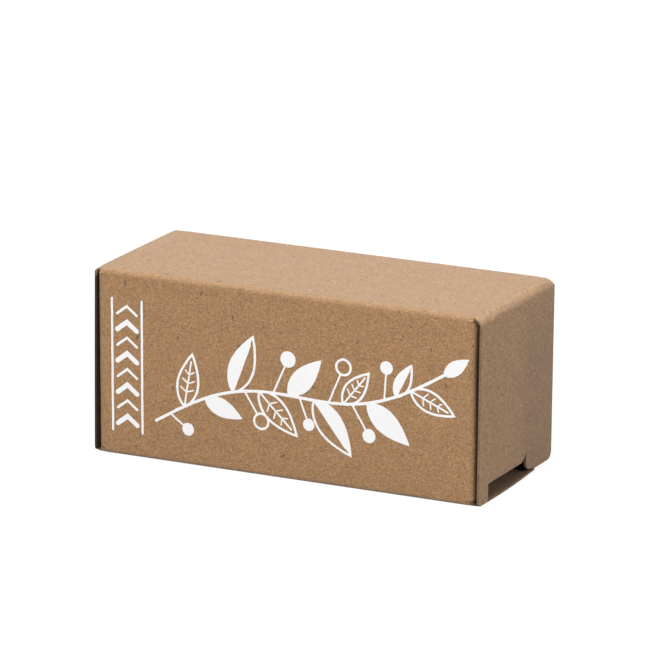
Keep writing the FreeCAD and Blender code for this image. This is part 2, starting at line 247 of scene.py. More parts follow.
def add(tree, kind, inputs=None, **settings):
    """A node with its settings, whose inputs are values or other nodes' output sockets."""
    made = tree.nodes.new(kind)
    for key, value in settings.items():
        setattr(made, key, value)
    for key, value in (inputs or {}).items():
        if isinstance(value, bpy.types.NodeSocket):
            tree.links.new(value, made.inputs[key])
        else:
            made.inputs[key].default_value = value
    return made


def mixed(tree, factor, first, second, blend="MIX"):
    made = add(tree, "ShaderNodeMix", {0: factor, 6: first, 7: second}, data_type="RGBA", blend_type=blend)
    return made.outputs[2]


def ranged(tree, value, low, high, to_low=0.0, to_high=1.0):
    """The value carried from the range low to high into another, and clamped there."""
    made = add(tree, "ShaderNodeMapRange", {0: value, 1: low, 2: high, 3: to_low, 4: to_high})
    return made.outputs[0]


def noise_value(tree, place, scale, detail=2.0, roughness=0.5):
    inputs = {"Vector": place, "Scale": scale, "Detail": detail, "Roughness": roughness}
    return add(tree, "ShaderNodeTexNoise", inputs).outputs["Fac"]


def product(tree, first, second):
    return add(tree, "ShaderNodeMath", {0: first, 1: second}, operation="MULTIPLY").outputs[0]


def stretched(tree, place, turn, scale):
    """The place turned about Z and then drawn out by the scale, for fibres and turning marks."""
    inputs = {"Vector": place, "Rotation": (0, 0, turn), "Scale": scale}
    return add(tree, "ShaderNodeMapping", inputs, vector_type="TEXTURE").outputs["Vector"]


def new_material(name):
    made = bpy.data.materials.new(name)
    made.use_nodes = True
    tree = made.node_tree
    return made, tree, tree.nodes["Principled BSDF"]


def give_relief(tree, shader, height, strength, depth):
    """A fine relief on a material's surface, with its depth in millimetres."""
    bump = add(tree, "ShaderNodeBump", {"Height": height, "Strength": strength, "Distance": depth * MM})
    tree.links.new(bump.outputs["Normal"], shader.inputs["Normal"])


def sheet_place(tree):
    """The point's place on the flat sheet in millimetres, which stays with the card as it folds."""
    return add(tree, "ShaderNodeAttribute", attribute_name="sheet_place").outputs["Vector"]


def object_place(tree):
    place = add(tree, "ShaderNodeTexCoord").outputs["Object"]
    return add(tree, "ShaderNodeVectorMath", {0: place, "Scale": 1 / MM}, operation="SCALE").outputs["Vector"]


# Card colours
CARD_BODY = (0.36, 0.199, 0.089, 1)
CARD_PALE = (0.56, 0.385, 0.23, 1)
CARD_DARK = (0.18, 0.09, 0.04, 1)
END_PALE = (0.64, 0.46, 0.29, 1)
END_DARK = (0.1, 0.048, 0.022, 1)
EDGE_BODY = (0.21, 0.135, 0.082, 1)
EDGE_PALE = (0.33, 0.24, 0.16, 1)
INSIDE_BODY = (0.25, 0.15, 0.082, 1)
INSIDE_PALE = (0.40, 0.28, 0.18, 1)
# the colour that painted shade darkens the card towards
PAINTED_SHADE_DARK = (0.02, 0.012, 0.008, 1)
SPECK_DARK = (0.1, 0.07, 0.05, 1)
WARM_TINT = (1.05, 0.985, 0.96, 1)
COOL_TINT = (0.95, 1.01, 1.02, 1)
SPECK_STRETCH = (2.0, 0.9, 1.0)
FIBRE_STRETCH = (1.0, 0.16, 1.0)
SPECKS = [  # heading, number across a millimetre, size in that spacing, and how rare they are
    (0.5, 0.8, 0.1, 0.6), (1.4, 0.42, 0.09, 0.68), (2.3, 0.3, 0.07, 0.7),
]
FIBRES = [  # heading of the fibres in the sheet, their tone, and how rare they are
    (0.3, "pale", 0.64), (1.2, "pale", 0.66), (2.1, "pale", 0.64), (2.8, "pale", 0.66),
    (0.7, "dark", 0.69), (1.7, "dark", 0.71), (2.5, "dark", 0.69),
]


def kraft_colour(tree, place, body, pale, dark, uneven):
    """Mottled brown with pale and dark fibres lying every way and a few specks of bark."""
    cloud = ranged(tree, noise_value(tree, place, 0.3, 3.0), 0.3, 0.7, 0.93, 1.07)
    mottle = ranged(tree, noise_value(tree, place, 1.1, 2.0), 0.3, 0.7, 1 - uneven, 1 + uneven)
    grain = ranged(tree, noise_value(tree, place, 2.6, 4.0, 0.7), 0.25, 0.75, 0.5, 1.5)
    tint = mixed(tree, ranged(tree, noise_value(tree, place, 3.1, 2.0), 0.35, 0.65), WARM_TINT, COOL_TINT)
    colour = mixed(tree, 1.0, body, tint, "MULTIPLY")
    for layer in (cloud, mottle, grain):
        colour = mixed(tree, 1.0, colour, layer, "MULTIPLY")
    for turn, tone, rare in FIBRES:
        strands = stretched(tree, place, turn, FIBRE_STRETCH)
        mask = ranged(tree, noise_value(tree, strands, 1.0, 1.0), rare, rare + 0.08)
        colour = mixed(tree, product(tree, mask, 0.75), colour, dark if tone == "dark" else pale)
    for turn, scale, size, rare in SPECKS:
        spread = stretched(tree, place, turn, SPECK_STRETCH)
        cells = add(tree, "ShaderNodeTexVoronoi", {"Vector": spread, "Scale": scale})
        speck = ranged(tree, cells.outputs["Distance"], size, 1.6 * size, 1.0, 0.0)
        chosen = ranged(tree, cells.outputs["Color"], rare, rare + 0.03)
        colour = mixed(tree, product(tree, product(tree, speck, chosen), 0.7), colour, SPECK_DARK)
    return colour


def kraft(name, body, pale, dark, sheen=0.38, gloss=0.35, uneven=0.12):
    made, tree, shader = new_material(name)
    place = sheet_place(tree)
    colour = kraft_colour(tree, place, body, pale, dark, uneven)
    crease_wear_and_painted_shade = add(tree, "ShaderNodeAttribute", attribute_name="crease_wear_and_painted_shade").outputs["Fac"]
    # positive values are rubbed wear at creases, and negative values are painted shade that darkens the card
    rubbed = ranged(tree, crease_wear_and_painted_shade, 0, 1)
    painted_shade = ranged(tree, crease_wear_and_painted_shade, 0, -1)
    rub = ranged(tree, noise_value(tree, place, 1.6, 3.0), 0.3, 0.7, 0.35, 1.0)
    colour = mixed(tree, product(tree, product(tree, rubbed, rub), 0.22), colour, pale)
    colour = mixed(tree, product(tree, painted_shade, 0.9), colour, PAINTED_SHADE_DARK)
    tree.links.new(colour, shader.inputs["Base Color"])
    fibre = noise_value(tree, place, 5.0, 3.0, 0.6)
    tree.links.new(ranged(tree, fibre, 0.2, 0.8, 0.72, 0.9), shader.inputs["Roughness"])
    give_relief(tree, shader, fibre, 0.25, 0.03)
    shader.inputs["Specular IOR Level"].default_value = gloss
    shader.inputs["Sheen Weight"].default_value = sheen
    shader.inputs["Sheen Roughness"].default_value = 0.45
    return made


def ink_material():
    """White ink that lies thinly on the card, which shows through it in pinholes."""
    made, tree, shader = new_material("white_ink")
    place = object_place(tree)
    patches = ranged(tree, noise_value(tree, place, 0.9, 3.0), 0.35, 0.65)
    film = mixed(tree, product(tree, patches, 0.5), (0.985, 0.98, 0.98, 1), (0.95, 0.945, 0.94, 1))
    pinholes = ranged(tree, noise_value(tree, place, 4.2, 3.0, 0.7), 0.66, 0.72)
    card = mixed(tree, patches, CARD_BODY, CARD_DARK)
    colour = mixed(tree, product(tree, pinholes, 0.8), film, card)
    tree.links.new(colour, shader.inputs["Base Color"])
    tooth = noise_value(tree, place, 5.0, 3.0, 0.6)
    give_relief(tree, shader, tooth, 0.2, 0.03)
    shader.inputs["Roughness"].default_value = 0.62
    shader.inputs["Specular IOR Level"].default_value = 0.35
    return made


TURNING_MARKS = (0.11, 4.0, 4.0)  # stretch of the marks, which lie across X
WIRE_SCUFFS = (0.7, 0.7, 0.7)


def turned_metal(name, bright, dull, rough_low, rough_high, stretch):
    """Metal with turning marks or scuffs, drawn out by the stretch, and faint handling marks."""
    made, tree, shader = new_material(name)
    place = object_place(tree)
    marks = noise_value(tree, stretched(tree, place, 0, stretch), 1.6, 3.0, 0.6)
    smear = noise_value(tree, place, 0.28, 3.0)
    colour = mixed(tree, ranged(tree, marks, 0.3, 0.7), bright, dull)
    tree.links.new(colour, shader.inputs["Base Color"])
    wear = mixed(tree, 0.5, marks, smear)
    tree.links.new(ranged(tree, wear, 0.3, 0.7, rough_low, rough_high), shader.inputs["Roughness"])
    give_relief(tree, shader, marks, 0.18, 0.02)
    shader.inputs["Metallic"].default_value = 1.0
    return made


def rubber_material():
    made, tree, shader = new_material("seal_rubber")
    place = object_place(tree)
    dust = ranged(tree, noise_value(tree, place, 1.8, 4.0), 0.45, 0.8)
    colour = mixed(tree, product(tree, dust, 0.5), (0.012, 0.012, 0.013, 1), (0.05, 0.048, 0.045, 1))
    tree.links.new(colour, shader.inputs["Base Color"])
    tree.links.new(ranged(tree, dust, 0, 1, 0.5, 0.75), shader.inputs["Roughness"])
    return made


kraft_face = kraft("kraft_face", CARD_BODY, CARD_PALE, CARD_DARK)
kraft_end = kraft("kraft_end_face", CARD_BODY, END_PALE, END_DARK, uneven=0.18)
kraft_edge = kraft("kraft_cut_edge", EDGE_BODY, EDGE_PALE, CARD_DARK, sheen=0.1, gloss=0.2)
kraft_inside = kraft("kraft_inside", INSIDE_BODY, INSIDE_PALE, CARD_DARK, sheen=0.05, gloss=0.15)
white_ink = ink_material()
aluminium = turned_metal("turned_aluminium", (0.60, 0.61, 0.63, 1), (0.47, 0.48, 0.50, 1), 0.24, 0.4,
                         TURNING_MARKS)
nickel = turned_metal("nickel_wire", (0.62, 0.60, 0.56, 1), (0.50, 0.48, 0.45, 1), 0.12, 0.28, WIRE_SCUFFS)
rubber = rubber_material()


# Mesh helpers

def linked(name, data):
    """An object that holds the data, placed in the scene."""
    holder = bpy.data.objects.new(name, data)
    bpy.context.scene.collection.objects.link(holder)
    return holder


def new_piece(name, points, faces, materials, indices=None, sharp_angle=35.0):
    """A closed piece from points in millimetres, smooth except across edges sharper than the angle."""
    mesh = bpy.data.meshes.new(name)
    mesh.from_pydata([Vector(p) * MM for p in points], [], faces)
    for material in materials:
        mesh.materials.append(material)
    if indices:
        mesh.polygons.foreach_set("material_index", indices)
    mesh.shade_smooth()
    mesh.set_sharp_from_angle(angle=math.radians(sharp_angle))
    mesh.update()
    piece = linked(name, mesh)
    outward = bmesh.new()
    outward.from_mesh(mesh)
    bmesh.ops.recalc_face_normals(outward, faces=outward.faces)
    outward.to_mesh(mesh)
    outward.free()
    return piece


def rounded_outline(corners, steps=4):
    """The points of an outline with the corners (s, t, radius), each rounded corner drawn as an arc."""
    points = []
    for index, (s, t, radius) in enumerate(corners):
        corner = Vector((s, t))
        before = (Vector(corners[index - 1][:2]) - corner).normalized()
        after = (Vector(corners[(index + 1) % len(corners)][:2]) - corner).normalized()
        if radius == 0:
            points.append(corner)
            continue
        half_angle = before.angle(after) / 2
        centre = corner + (before + after).normalized() * (radius / math.sin(half_angle))
        start = corner + before * (radius / math.tan(half_angle)) - centre
        sweep = math.pi - 2 * half_angle
        turn = 1 if start.x * (corner - centre).y - start.y * (corner - centre).x > 0 else -1
        for step in range(steps + 1):
            angle = turn * sweep * step / steps
            points.append(centre + Matrix.Rotation(angle, 2) @ start)
    return points


def spaced(low, high, step):
    """Values evenly spaced between low and high, without either end."""
    count = max(1, round((high - low) / step))
    return [low + (high - low) * index / count for index in range(1, count)]


def fold_cuts(start, length):
    return [start + length * index / FOLD_STEPS for index in range(FOLD_STEPS + 1)]


def card_sheet(name, outline, s_cuts, t_cuts, place, face_material=kraft_face):
    """A sheet of card cut to a flat outline, where place(s, t, depth) gives each point and its crease wear,
    or its painted shade where that value is negative.
    """
    flat = bmesh.new()
    flat.faces.new([flat.verts.new((p[0], p[1], 0)) for p in outline])
    for axis, cuts in ((X_AXIS, s_cuts), (Y_AXIS, t_cuts)):
        for value in cuts:
            everything = flat.verts[:] + flat.edges[:] + flat.faces[:]
            bmesh.ops.bisect_plane(flat, geom=everything, dist=1e-4, plane_co=axis * value, plane_no=axis)
    flat.normal_update()
    flat.verts.index_update()
    count = len(flat.verts)
    points = []
    wear_and_shade_values = []
    sheet = []
    for depth in (0.0, CARD):
        for vert in flat.verts:
            point, crease_wear_and_painted_shade = place(vert.co.x, vert.co.y, depth)
            points.append(point)
            wear_and_shade_values.append(crease_wear_and_painted_shade)
            sheet += [vert.co.x, vert.co.y, SHEET_SPACING * len(bpy.data.meshes) + depth]
    faces = []
    indices = []
    for face in flat.faces:
        ring = [vert.index for vert in face.verts]
        faces += [ring, [index + count for index in reversed(ring)]]
        indices += [0, 2]
    for edge in flat.edges:
        if edge.is_boundary:
            loop = edge.link_loops[0]
            a = loop.vert.index
            b = loop.link_loop_next.vert.index
            faces.append([b, a, a + count, b + count])
            indices.append(1)
    flat.free()
    piece = new_piece(name, points, faces, [face_material, kraft_edge, kraft_inside], indices)
    store(piece, "sheet_place", "FLOAT_VECTOR", "vector", sheet)
    store(piece, "crease_wear_and_painted_shade", "FLOAT", "value", wear_and_shade_values)
    return piece


def store(piece, name, kind, field, values):
    layer = piece.data.attributes.new(name, kind, "POINT")
    layer.data.foreach_set(field, values)


def arc_point(centre, first, last, angle, radius):
    return centre + first * (math.cos(angle) * radius) + last * (math.sin(angle) * radius)


def crease_at(share):
    """How creased the card is at a share of the way round a fold: most at its middle."""
    return math.sin(math.pi * clamped(share))


def bow_at(x, t, to_edge):
    """How far a panel stands out of flat, which dies out towards its edges."""
    rise = noise.noise(Vector((x / BOW_WAVELENGTH, t / BOW_WAVELENGTH, BOW_SEED)))
    ease = clamped(to_edge / BOW_EDGE)
    return BOW * rise * ease * ease * (3 - 2 * ease)


# Carton sleeve: rear, top, front and bottom in one folded sheet, with t running round it

FLAT_WIDTH = 2 * (HALF_DEPTH - LONG_FOLD)
FLAT_HEIGHT = HEIGHT - 2 * LONG_FOLD
FOLD_LENGTH = LONG_FOLD * math.pi / 2
INNER_Y = HALF_DEPTH - LONG_FOLD
INNER_Z = HEIGHT - LONG_FOLD
SLEEVE_WALLS = [  # start of each wall on its outer face, its run, its outward direction and its length
    (Vector((0, HALF_DEPTH, LONG_FOLD)), Z_AXIS, Y_AXIS, FLAT_HEIGHT),
    (Vector((0, INNER_Y, HEIGHT)), -Y_AXIS, Z_AXIS, FLAT_WIDTH),
    (Vector((0, -HALF_DEPTH, INNER_Z)), -Z_AXIS, -Y_AXIS, FLAT_HEIGHT),
    (Vector((0, -INNER_Y, 0)), Y_AXIS, -Z_AXIS, FLAT_WIDTH),
]
WALL_STARTS = []
next_start = 0.0
for _, _, _, wall_length in SLEEVE_WALLS:
    WALL_STARTS.append(next_start)
    next_start += wall_length + FOLD_LENGTH
SLEEVE_LENGTH = next_start - SLIT
FRONT = 2
BOTTOM = 3
FRONT_START = WALL_STARTS[FRONT]
BOTTOM_START = WALL_STARTS[BOTTOM]


def sleeve_place(x, t, depth):
    for index, (start, run, out, length) in enumerate(SLEEVE_WALLS):
        along = t - WALL_STARTS[index]
        if along <= length + FOLD_LENGTH:
            break
    if along <= length:
        to_edge = min(along, length - along, WALL_END - abs(x))
        lift = bow_at(x, t, to_edge)
        near = max(0.0, 1 - min(along, length - along) / CREASE_EDGE)
        point = X_AXIS * x + start + run * along + out * (lift - depth)
        if index == BOTTOM:
            point += Z_AXIS * end_curl(x, point.y)
            # inside, the bottom's ends carry painted shade; outside, the value is crease wear beside the
            # folds
            return point, -BOTTOM_SHADE * end_shade(x) if depth else LIGHT_CREASE * near
        return point - Z_AXIS * (corner_sink(x, point.y) * max(0.0, out.z)), LIGHT_CREASE * near
    share = (along - length) / FOLD_LENGTH
    angle = share * math.pi / 2
    centre = start + run * length - out * LONG_FOLD
    point = arc_point(centre, out, run, angle, LONG_FOLD - depth)
    facing = out * math.cos(angle) + run * math.sin(angle)
    sink = corner_sink(x, point.y) * max(0.0, facing.z)
    point += X_AXIS * x - Y_AXIS * (facing.y * turned_in(x)) - Z_AXIS * sink
    # at the right end, painted shade darkens the gap along the lower long folds
    if facing.z < 0 and x > WALL_END + FOOT_SHADE_START:
        return point, -FOLD_PAINTED_SHADE * clamped(x - WALL_END - FOOT_SHADE_START)
    return point, LIGHT_CREASE + (1 - LIGHT_CREASE) * crease_at(share)


def end_curl(x, y):
    """How far the bottom's ends curl up at x and y, most towards the rear."""
    rear = clamped((y + HALF_DEPTH / 2) / HALF_DEPTH)
    return END_CURL * clamped((abs(x) - SHADE_START) / CURL_RUN) * rear ** 2


def end_shade(x):
    """How much painted shade darkens the bottom inside at x: most under the closures, and less on the tabs.
    """
    from_end = TAB_END + TAB_SHADE_PAST - abs(x)
    return clamped(min((abs(x) - SHADE_START) / SHADE_RUN, from_end / TAB_SHADE_RUN))


def corner_sink(x, y):
    """How far the top is pressed down at x and y, near its corners."""
    along = max(0.0, 1 - (HALF_LENGTH - abs(x)) / CORNER_REACH)
    inward = max(0.0, 1 - (HALF_DEPTH - abs(y)) / CORNER_REACH)
    return (FRONT_SINK if y < 0 else REAR_SINK) * (along * inward) ** 2


def turned_in(x):
    """How far a side panel's end has turned in at x, on its way into a dust flap."""
    past = min(max(0.0, abs(x) - WALL_END), TURN_LIMIT * DUST_FOLD)
    return DUST_FOLD - math.sqrt(DUST_FOLD ** 2 - past ** 2)


def sleeve_side():
    """The sleeve's right-hand outline as pairs (x, t)."""
    middle = BOTTOM_START + INNER_Y
    tab_front = middle + NOTCH_FRONT + TAB_ROOM
    tab_rear = middle + NOTCH_REAR + TAB_REACH
    front_end = BOTTOM_START - FOLD_LENGTH
    return [
        (WALL_END, 0), (WALL_END, FLAT_HEIGHT), (FOLD_START, FLAT_HEIGHT), (FOLD_START, FRONT_START),
        (WALL_END, FRONT_START), (WALL_END, front_end), (FOLD_START, front_end),
        (INSIDE_END, BOTTOM_START), (INSIDE_END, tab_front),
        (TAB_END, tab_front), (TAB_END, tab_rear), (FOLD_START, tab_rear), (FOLD_START, SLEEVE_LENGTH),
    ]


def make_sleeve():
    side = sleeve_side()
    outline = side + [(-x, t) for x, t in reversed(side)]
    x_cuts = spaced(-WALL_END, WALL_END, PANEL_STEP)
    for share in END_CUTS:
        past = WALL_END + share * (FOLD_START - WALL_END)
        x_cuts += [-past, past]
    t_cuts = []
    for start, (_, _, _, length) in zip(WALL_STARTS, SLEEVE_WALLS):
        t_cuts += spaced(start, start + length, PANEL_STEP)
        t_cuts += [start + CREASE_EDGE, start + length - CREASE_EDGE]
        t_cuts += [value for value in fold_cuts(start + length, FOLD_LENGTH) if value < SLEEVE_LENGTH]
    piece = card_sheet("carton_sleeve", outline, x_cuts, t_cuts, sleeve_place)
    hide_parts("top_panel", "front_panel", "rear_panel", "bottom_panel")
    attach(piece, "carton")


# Flaps: each starts at its panel, turns a quarter round its crease and goes on flat

def flap_place(start, first_run, second_run, radius, across, spring=(0.0, 0.0), length=1.0):
    """Places (s, t): s lies along the crease, and t runs from the crease's start round it and over the flap.

    A flap of that length can stand out past its crease by one amount there and another at its free end.
    """
    turn = radius * math.pi / 2
    out = -second_run
    centre = start + second_run * radius

    def place(s, t, depth):
        share = min(t / turn, 1.0)
        over = max(t - turn, 0.0)
        out_by = spring[0] + (spring[1] - spring[0]) * over / length
        shift = across * s + first_run * (out_by * share * share)
        if over == 0:
            point = arc_point(centre, out, first_run, share * math.pi / 2, radius - depth)
            return point + shift, crease_at(share)
        point = centre + first_run * (radius - depth) + second_run * over
        return point + shift, max(0.0, LIGHT_CREASE - over)

    return place, turn


def make_closure(side, end):
    """An end closure, with the legs beside its notch, and the slit at the notch's inner end."""
    start = Vector((end * FOLD_START, 0, HEIGHT))
    out = X_AXIS * end
    flat_place, turn = flap_place(start, out, -Z_AXIS, CLOSURE_FOLD, Y_AXIS, SPRING[side], CLOSURE_TOP)

    def place(s, t, depth):
        """The closure's root follows the ends of the long creases down, so its upper corners are round."""
        point, crease_wear_and_painted_shade = flat_place(s, t, depth)
        past = max(0.0, abs(s) - INNER_Y)
        slope = math.sqrt(LONG_FOLD ** 2 - past ** 2)
        drop = LONG_FOLD - slope + corner_sink(point.x, s) * slope / LONG_FOLD
        # painted shade along a closure's front edge, inside and a little outside
        shaded = SHADED_EDGE[side] * (1 if depth else OUTER_SHADE)
        if t > turn + SHADE_TOP and s + CLOSURE_FRONT[side] < shaded - EDGE_SLACK:
            crease_wear_and_painted_shade = -1.0
        over = max(0.0, t - turn) / CLOSURE_TOP
        # painted shade on the closure's rear part, deepening over the first stretch below its fold
        crease_wear_and_painted_shade -= REAR_PAINTED_SHADE * clamped(s / NOTCH_REAR) * clamped(over / REAR_SHADE_RUN)
        bulge = CLOSURE_BULGE * math.sin(math.pi * over) * (1 - (s / CLOSURE_HALF_WIDTH) ** 2)
        return point + out * bulge - Z_AXIS * (drop * max(0.0, 1 - t / turn)), crease_wear_and_painted_shade

    def down(z):
        return turn + CLOSURE_TOP - z

    bend_top = NOTCH_HEIGHT + TONGUE_FOLD
    width = CLOSURE_HALF_WIDTH
    front = CLOSURE_FRONT[side]
    foot = down(LEG_ROOM)
    corners = [
        (-min(front, CLOSURE_ROOT), 0, 0), (-front, turn, 0), (-front, foot, FRONT_LEG_CORNER),
        (NOTCH_FRONT, foot, FRONT_LEG_CORNER), (NOTCH_FRONT, down(bend_top), 0),
        (TONGUE_REAR, down(bend_top), 0), (NOTCH_REAR, down(bend_top + SLIT_RISE), 0),
        (NOTCH_REAR, down(LEG_LIFT), NOTCH_CORNER), (NOTCH_REAR + LEG_SLANT, foot - LEG_RISE, 0),
        (width, foot - LEG_RISE, LEG_CORNER), (width, turn, 0), (CLOSURE_ROOT, 0, 0),
    ]
    s_cuts = spaced(-width, width, PANEL_STEP) + [past - front for past in EDGE_CUTS]
    for past in ROOT_CUTS:
        s_cuts += [-INNER_Y - past, INNER_Y + past]
    t_cuts = fold_cuts(0, turn)[1:] + [turn + LIGHT_CREASE, turn + SHADE_CUT]
    t_cuts += spaced(turn, down(bend_top), PANEL_STEP)
    piece = card_sheet(side + "_closure", rounded_outline(corners), s_cuts, t_cuts, place, kraft_end)
    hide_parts(side + "_closure_panel")
    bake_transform(piece)


def make_tongue(side, end):
    start = Vector((end * (HALF_LENGTH + SPRING[side][1]), 0, NOTCH_HEIGHT + TONGUE_FOLD))
    place, turn = flap_place(start, -Z_AXIS, -X_AXIS * end, TONGUE_FOLD, Y_AXIS)
    tip = turn + TONGUE_LENGTH
    corners = [(TONGUE_FRONT, 0, 0), (TONGUE_REAR, 0, 0), (TONGUE_REAR, tip, TONGUE_CORNER),
               (TONGUE_FRONT, tip, TONGUE_CORNER)]
    t_cuts = fold_cuts(0, turn)[1:] + [turn + LIGHT_CREASE]
    piece = card_sheet(side + "_tongue", rounded_outline(corners), [], t_cuts, place)
    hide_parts(side + "_tuck_tongue")
    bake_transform(piece)


def make_dust_flap(side, end, wall, facing):
    """A dust flap, narrower than its fold, tapered towards the top and shouldered at the bottom."""
    start = Vector((end * WALL_END, facing * HALF_DEPTH, 0))
    bent, turn = flap_place(start, X_AXIS * end, -Y_AXIS * facing, DUST_FOLD, Z_AXIS)

    def place(s, t, depth):
        """The fold's middle is darkened with painted shade, but for its top."""
        share = t / turn
        # painted shade across the middle of the fold, fading out towards the top
        painted_shade = clamped((share - FOLD_SHADE_FROM) / FOLD_SHADE_FADE) * clamped((FOLD_SHADE_TO - share) / FOLD_SHADE_FADE)
        return bent(s, t, depth)[0], -FOLD_PAINTED_SHADE * painted_shade * clamped((high - s) / FOLD_SHADE_RUN[side])

    tip = turn + DUST_LENGTH
    shoulder = DUST_BOTTOM + DUST_SHOULDER
    low = LONG_FOLD + SLIT
    high = INNER_Z - SLIT
    corners = [(low, 0, 0), (low, turn, 0), (DUST_BOTTOM, turn, 0), (shoulder, turn + DUST_SHOULDER, 0),
               (shoulder, tip, DUST_CORNER), (DUST_TOP - DUST_LENGTH, tip, DUST_CORNER), (DUST_TOP, turn, 0),
               (high, turn, 0), (high, 0, 0)]
    t_cuts = fold_cuts(0, turn)[1:] + [turn + LIGHT_CREASE, FOLD_SHADE_TO * turn]
    s_cuts = [high - FOLD_SHADE_RUN[side]]
    piece = card_sheet(f"{side}_{wall}_dust", rounded_outline(corners), s_cuts, t_cuts, place)
    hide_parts(f"{side}_{wall}_dust_flap")
    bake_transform(piece)


def make_glue_flap():
    rear = HALF_DEPTH - CARD
    reach = INSIDE_END - GLUE_INSET
    high = LONG_FOLD + GLUE_HEIGHT
    corners = [(-reach, LONG_FOLD), (reach, LONG_FOLD), (reach - GLUE_INSET, high),
               (-reach + GLUE_INSET, high)]

    def place(x, z, depth):
        return Vector((x, rear - depth, z)), 0.0

    piece = card_sheet("glue_seam", corners, [], [], place)
    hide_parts("glue_flap")
    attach(piece, "carton")


make_sleeve()
make_glue_flap()
for side, end in (("right", 1), ("left", -1)):
    make_closure(side, end)
    make_tongue(side, end)
    for wall, facing in (("front", -1), ("rear", 1)):
        make_dust_flap(side, end, wall, facing)


# Fob

def joined(rows, closed=True):
    """The faces between rows of points, where a row can be one point repeated."""
    faces = []
    for near, far in zip(rows, rows[1:] + rows[:1] if closed else rows[1:]):
        for index in range(len(near)):
            after = (index + 1) % len(near)
            ring = list(dict.fromkeys([near[index], near[after], far[after], far[index]]))
            if len(ring) > 2:
                faces.append(ring)
    return faces


def lathe(name, profile, material, body, node, segments=96):
    """A piece turned about the fob's axis from a closed profile of (x, radius), which may touch the axis."""
    points = []
    rows = []
    for x, radius in profile:
        if radius == 0:
            rows.append([len(points)] * segments)
            points.append((x, 0, FOB_AXIS))
            continue
        rows.append(list(range(len(points), len(points) + segments)))
        for index in range(segments):
            angle = 2 * math.pi * index / segments
            points.append((x, radius * math.cos(angle), FOB_AXIS + radius * math.sin(angle)))
    piece = new_piece(name, points, joined(rows), [material])
    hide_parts(node)
    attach(piece, body)
    return piece


def swept(name, points, sides, ups, outline, material, closed):
    """A section drawn along points, where each point has its sideways and upward direction."""
    verts = []
    rows = []
    for point, side, up in zip(points, sides, ups):
        rows.append(list(range(len(verts), len(verts) + len(outline))))
        verts += [point + side * a + up * b for a, b in outline]
    faces = joined(rows, closed)
    if not closed:
        faces += [rows[0], rows[-1]]
    return new_piece(name, verts, faces, [material], sharp_angle=50.0)


def circle(radius, count=14):
    return [(radius * math.cos(2 * math.pi * k / count), radius * math.sin(2 * math.pi * k / count))
            for k in range(count)]


def make_tube():
    dome = TUBE_END - FOB_RADIUS
    bore_end = TUBE_END - TUBE_FLOOR
    nose = [(dome + FOB_RADIUS * math.sin(a), FOB_RADIUS * math.cos(a))
            for a in [math.pi / 2 * k / NOSE_STEPS for k in range(1, NOSE_STEPS)]]
    profile = [(TUBE_MOUTH, SEAT_RADIUS + SEAT_CHAMFER), (TUBE_MOUTH, FOB_RADIUS - EDGE_BREAK),
               (TUBE_MOUTH + EDGE_BREAK, FOB_RADIUS), (dome, FOB_RADIUS)] + nose + [
        (TUBE_END, 0), (bore_end, 0), (bore_end, BORE_RADIUS - BORE_CORNER),
        (bore_end - BORE_CORNER, BORE_RADIUS), (SEAT_END, BORE_RADIUS), (SEAT_END, SEAT_RADIUS),
        (TUBE_MOUTH + SEAT_CHAMFER, SEAT_RADIUS)]
    lathe("tube_shell", profile, aluminium, "tube", "pill_tube")


def make_cap():
    core = NECK_RADIUS - THREAD_DEPTH
    shoulder = [(HEAD_START + HEAD_ROUND - HEAD_ROUND * math.sin(a),
                 FOB_RADIUS - HEAD_ROUND + HEAD_ROUND * math.cos(a))
                for a in [math.pi / 2 * k / HEAD_STEPS for k in range(HEAD_STEPS, -1, -1)]]
    profile = [(HEAD_START, 0)] + shoulder + [
        (HEAD_END - EDGE_BREAK, FOB_RADIUS), (HEAD_END, FOB_RADIUS - EDGE_BREAK), (HEAD_END, GROOVE_RADIUS),
        (SEAT_END, GROOVE_RADIUS), (SEAT_END, NECK_RADIUS - COLLAR_STEP), (SEAT_END + COLLAR_RUN, core),
        (NECK_END - NECK_CHAMFER, core), (NECK_END, core - NECK_CHAMFER), (NECK_END, 0)]
    lathe("cap_body", profile, aluminium, "cap", "screw_cap")


def make_thread():
    """The neck's thread: a ridge that climbs round the core and fades out at both ends."""
    turns = (NECK_END - THREAD_END_ROOM - SEAT_END - THREAD_START_ROOM) / THREAD_PITCH
    steps = int(turns * THREAD_STEPS)
    core = NECK_RADIUS - THREAD_DEPTH
    points = []
    sides = []
    ups = []
    for step in range(steps + 1):
        angle = 2 * math.pi * turns * step / steps
        ease = min(1.0, step / THREAD_FADE_STEPS, (steps - step) / THREAD_FADE_STEPS)
        out = Vector((0, math.cos(angle), math.sin(angle)))
        x = SEAT_END + THREAD_START_ROOM + THREAD_PITCH * angle / (2 * math.pi)
        points.append(Vector((x, 0, FOB_AXIS)) + out * (core - THREAD_SINK))
        sides.append(X_AXIS)
        ups.append(out * (THREAD_TIP + (1 - THREAD_TIP) * ease))
    ridge = THREAD_DEPTH + THREAD_RISE
    outline = [(-THREAD_ROOT, 0), (THREAD_ROOT, 0), (THREAD_CREST, ridge), (-THREAD_CREST, ridge)]
    piece = swept("neck_thread", points, sides, ups, outline, aluminium, False)
    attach(piece, "cap")


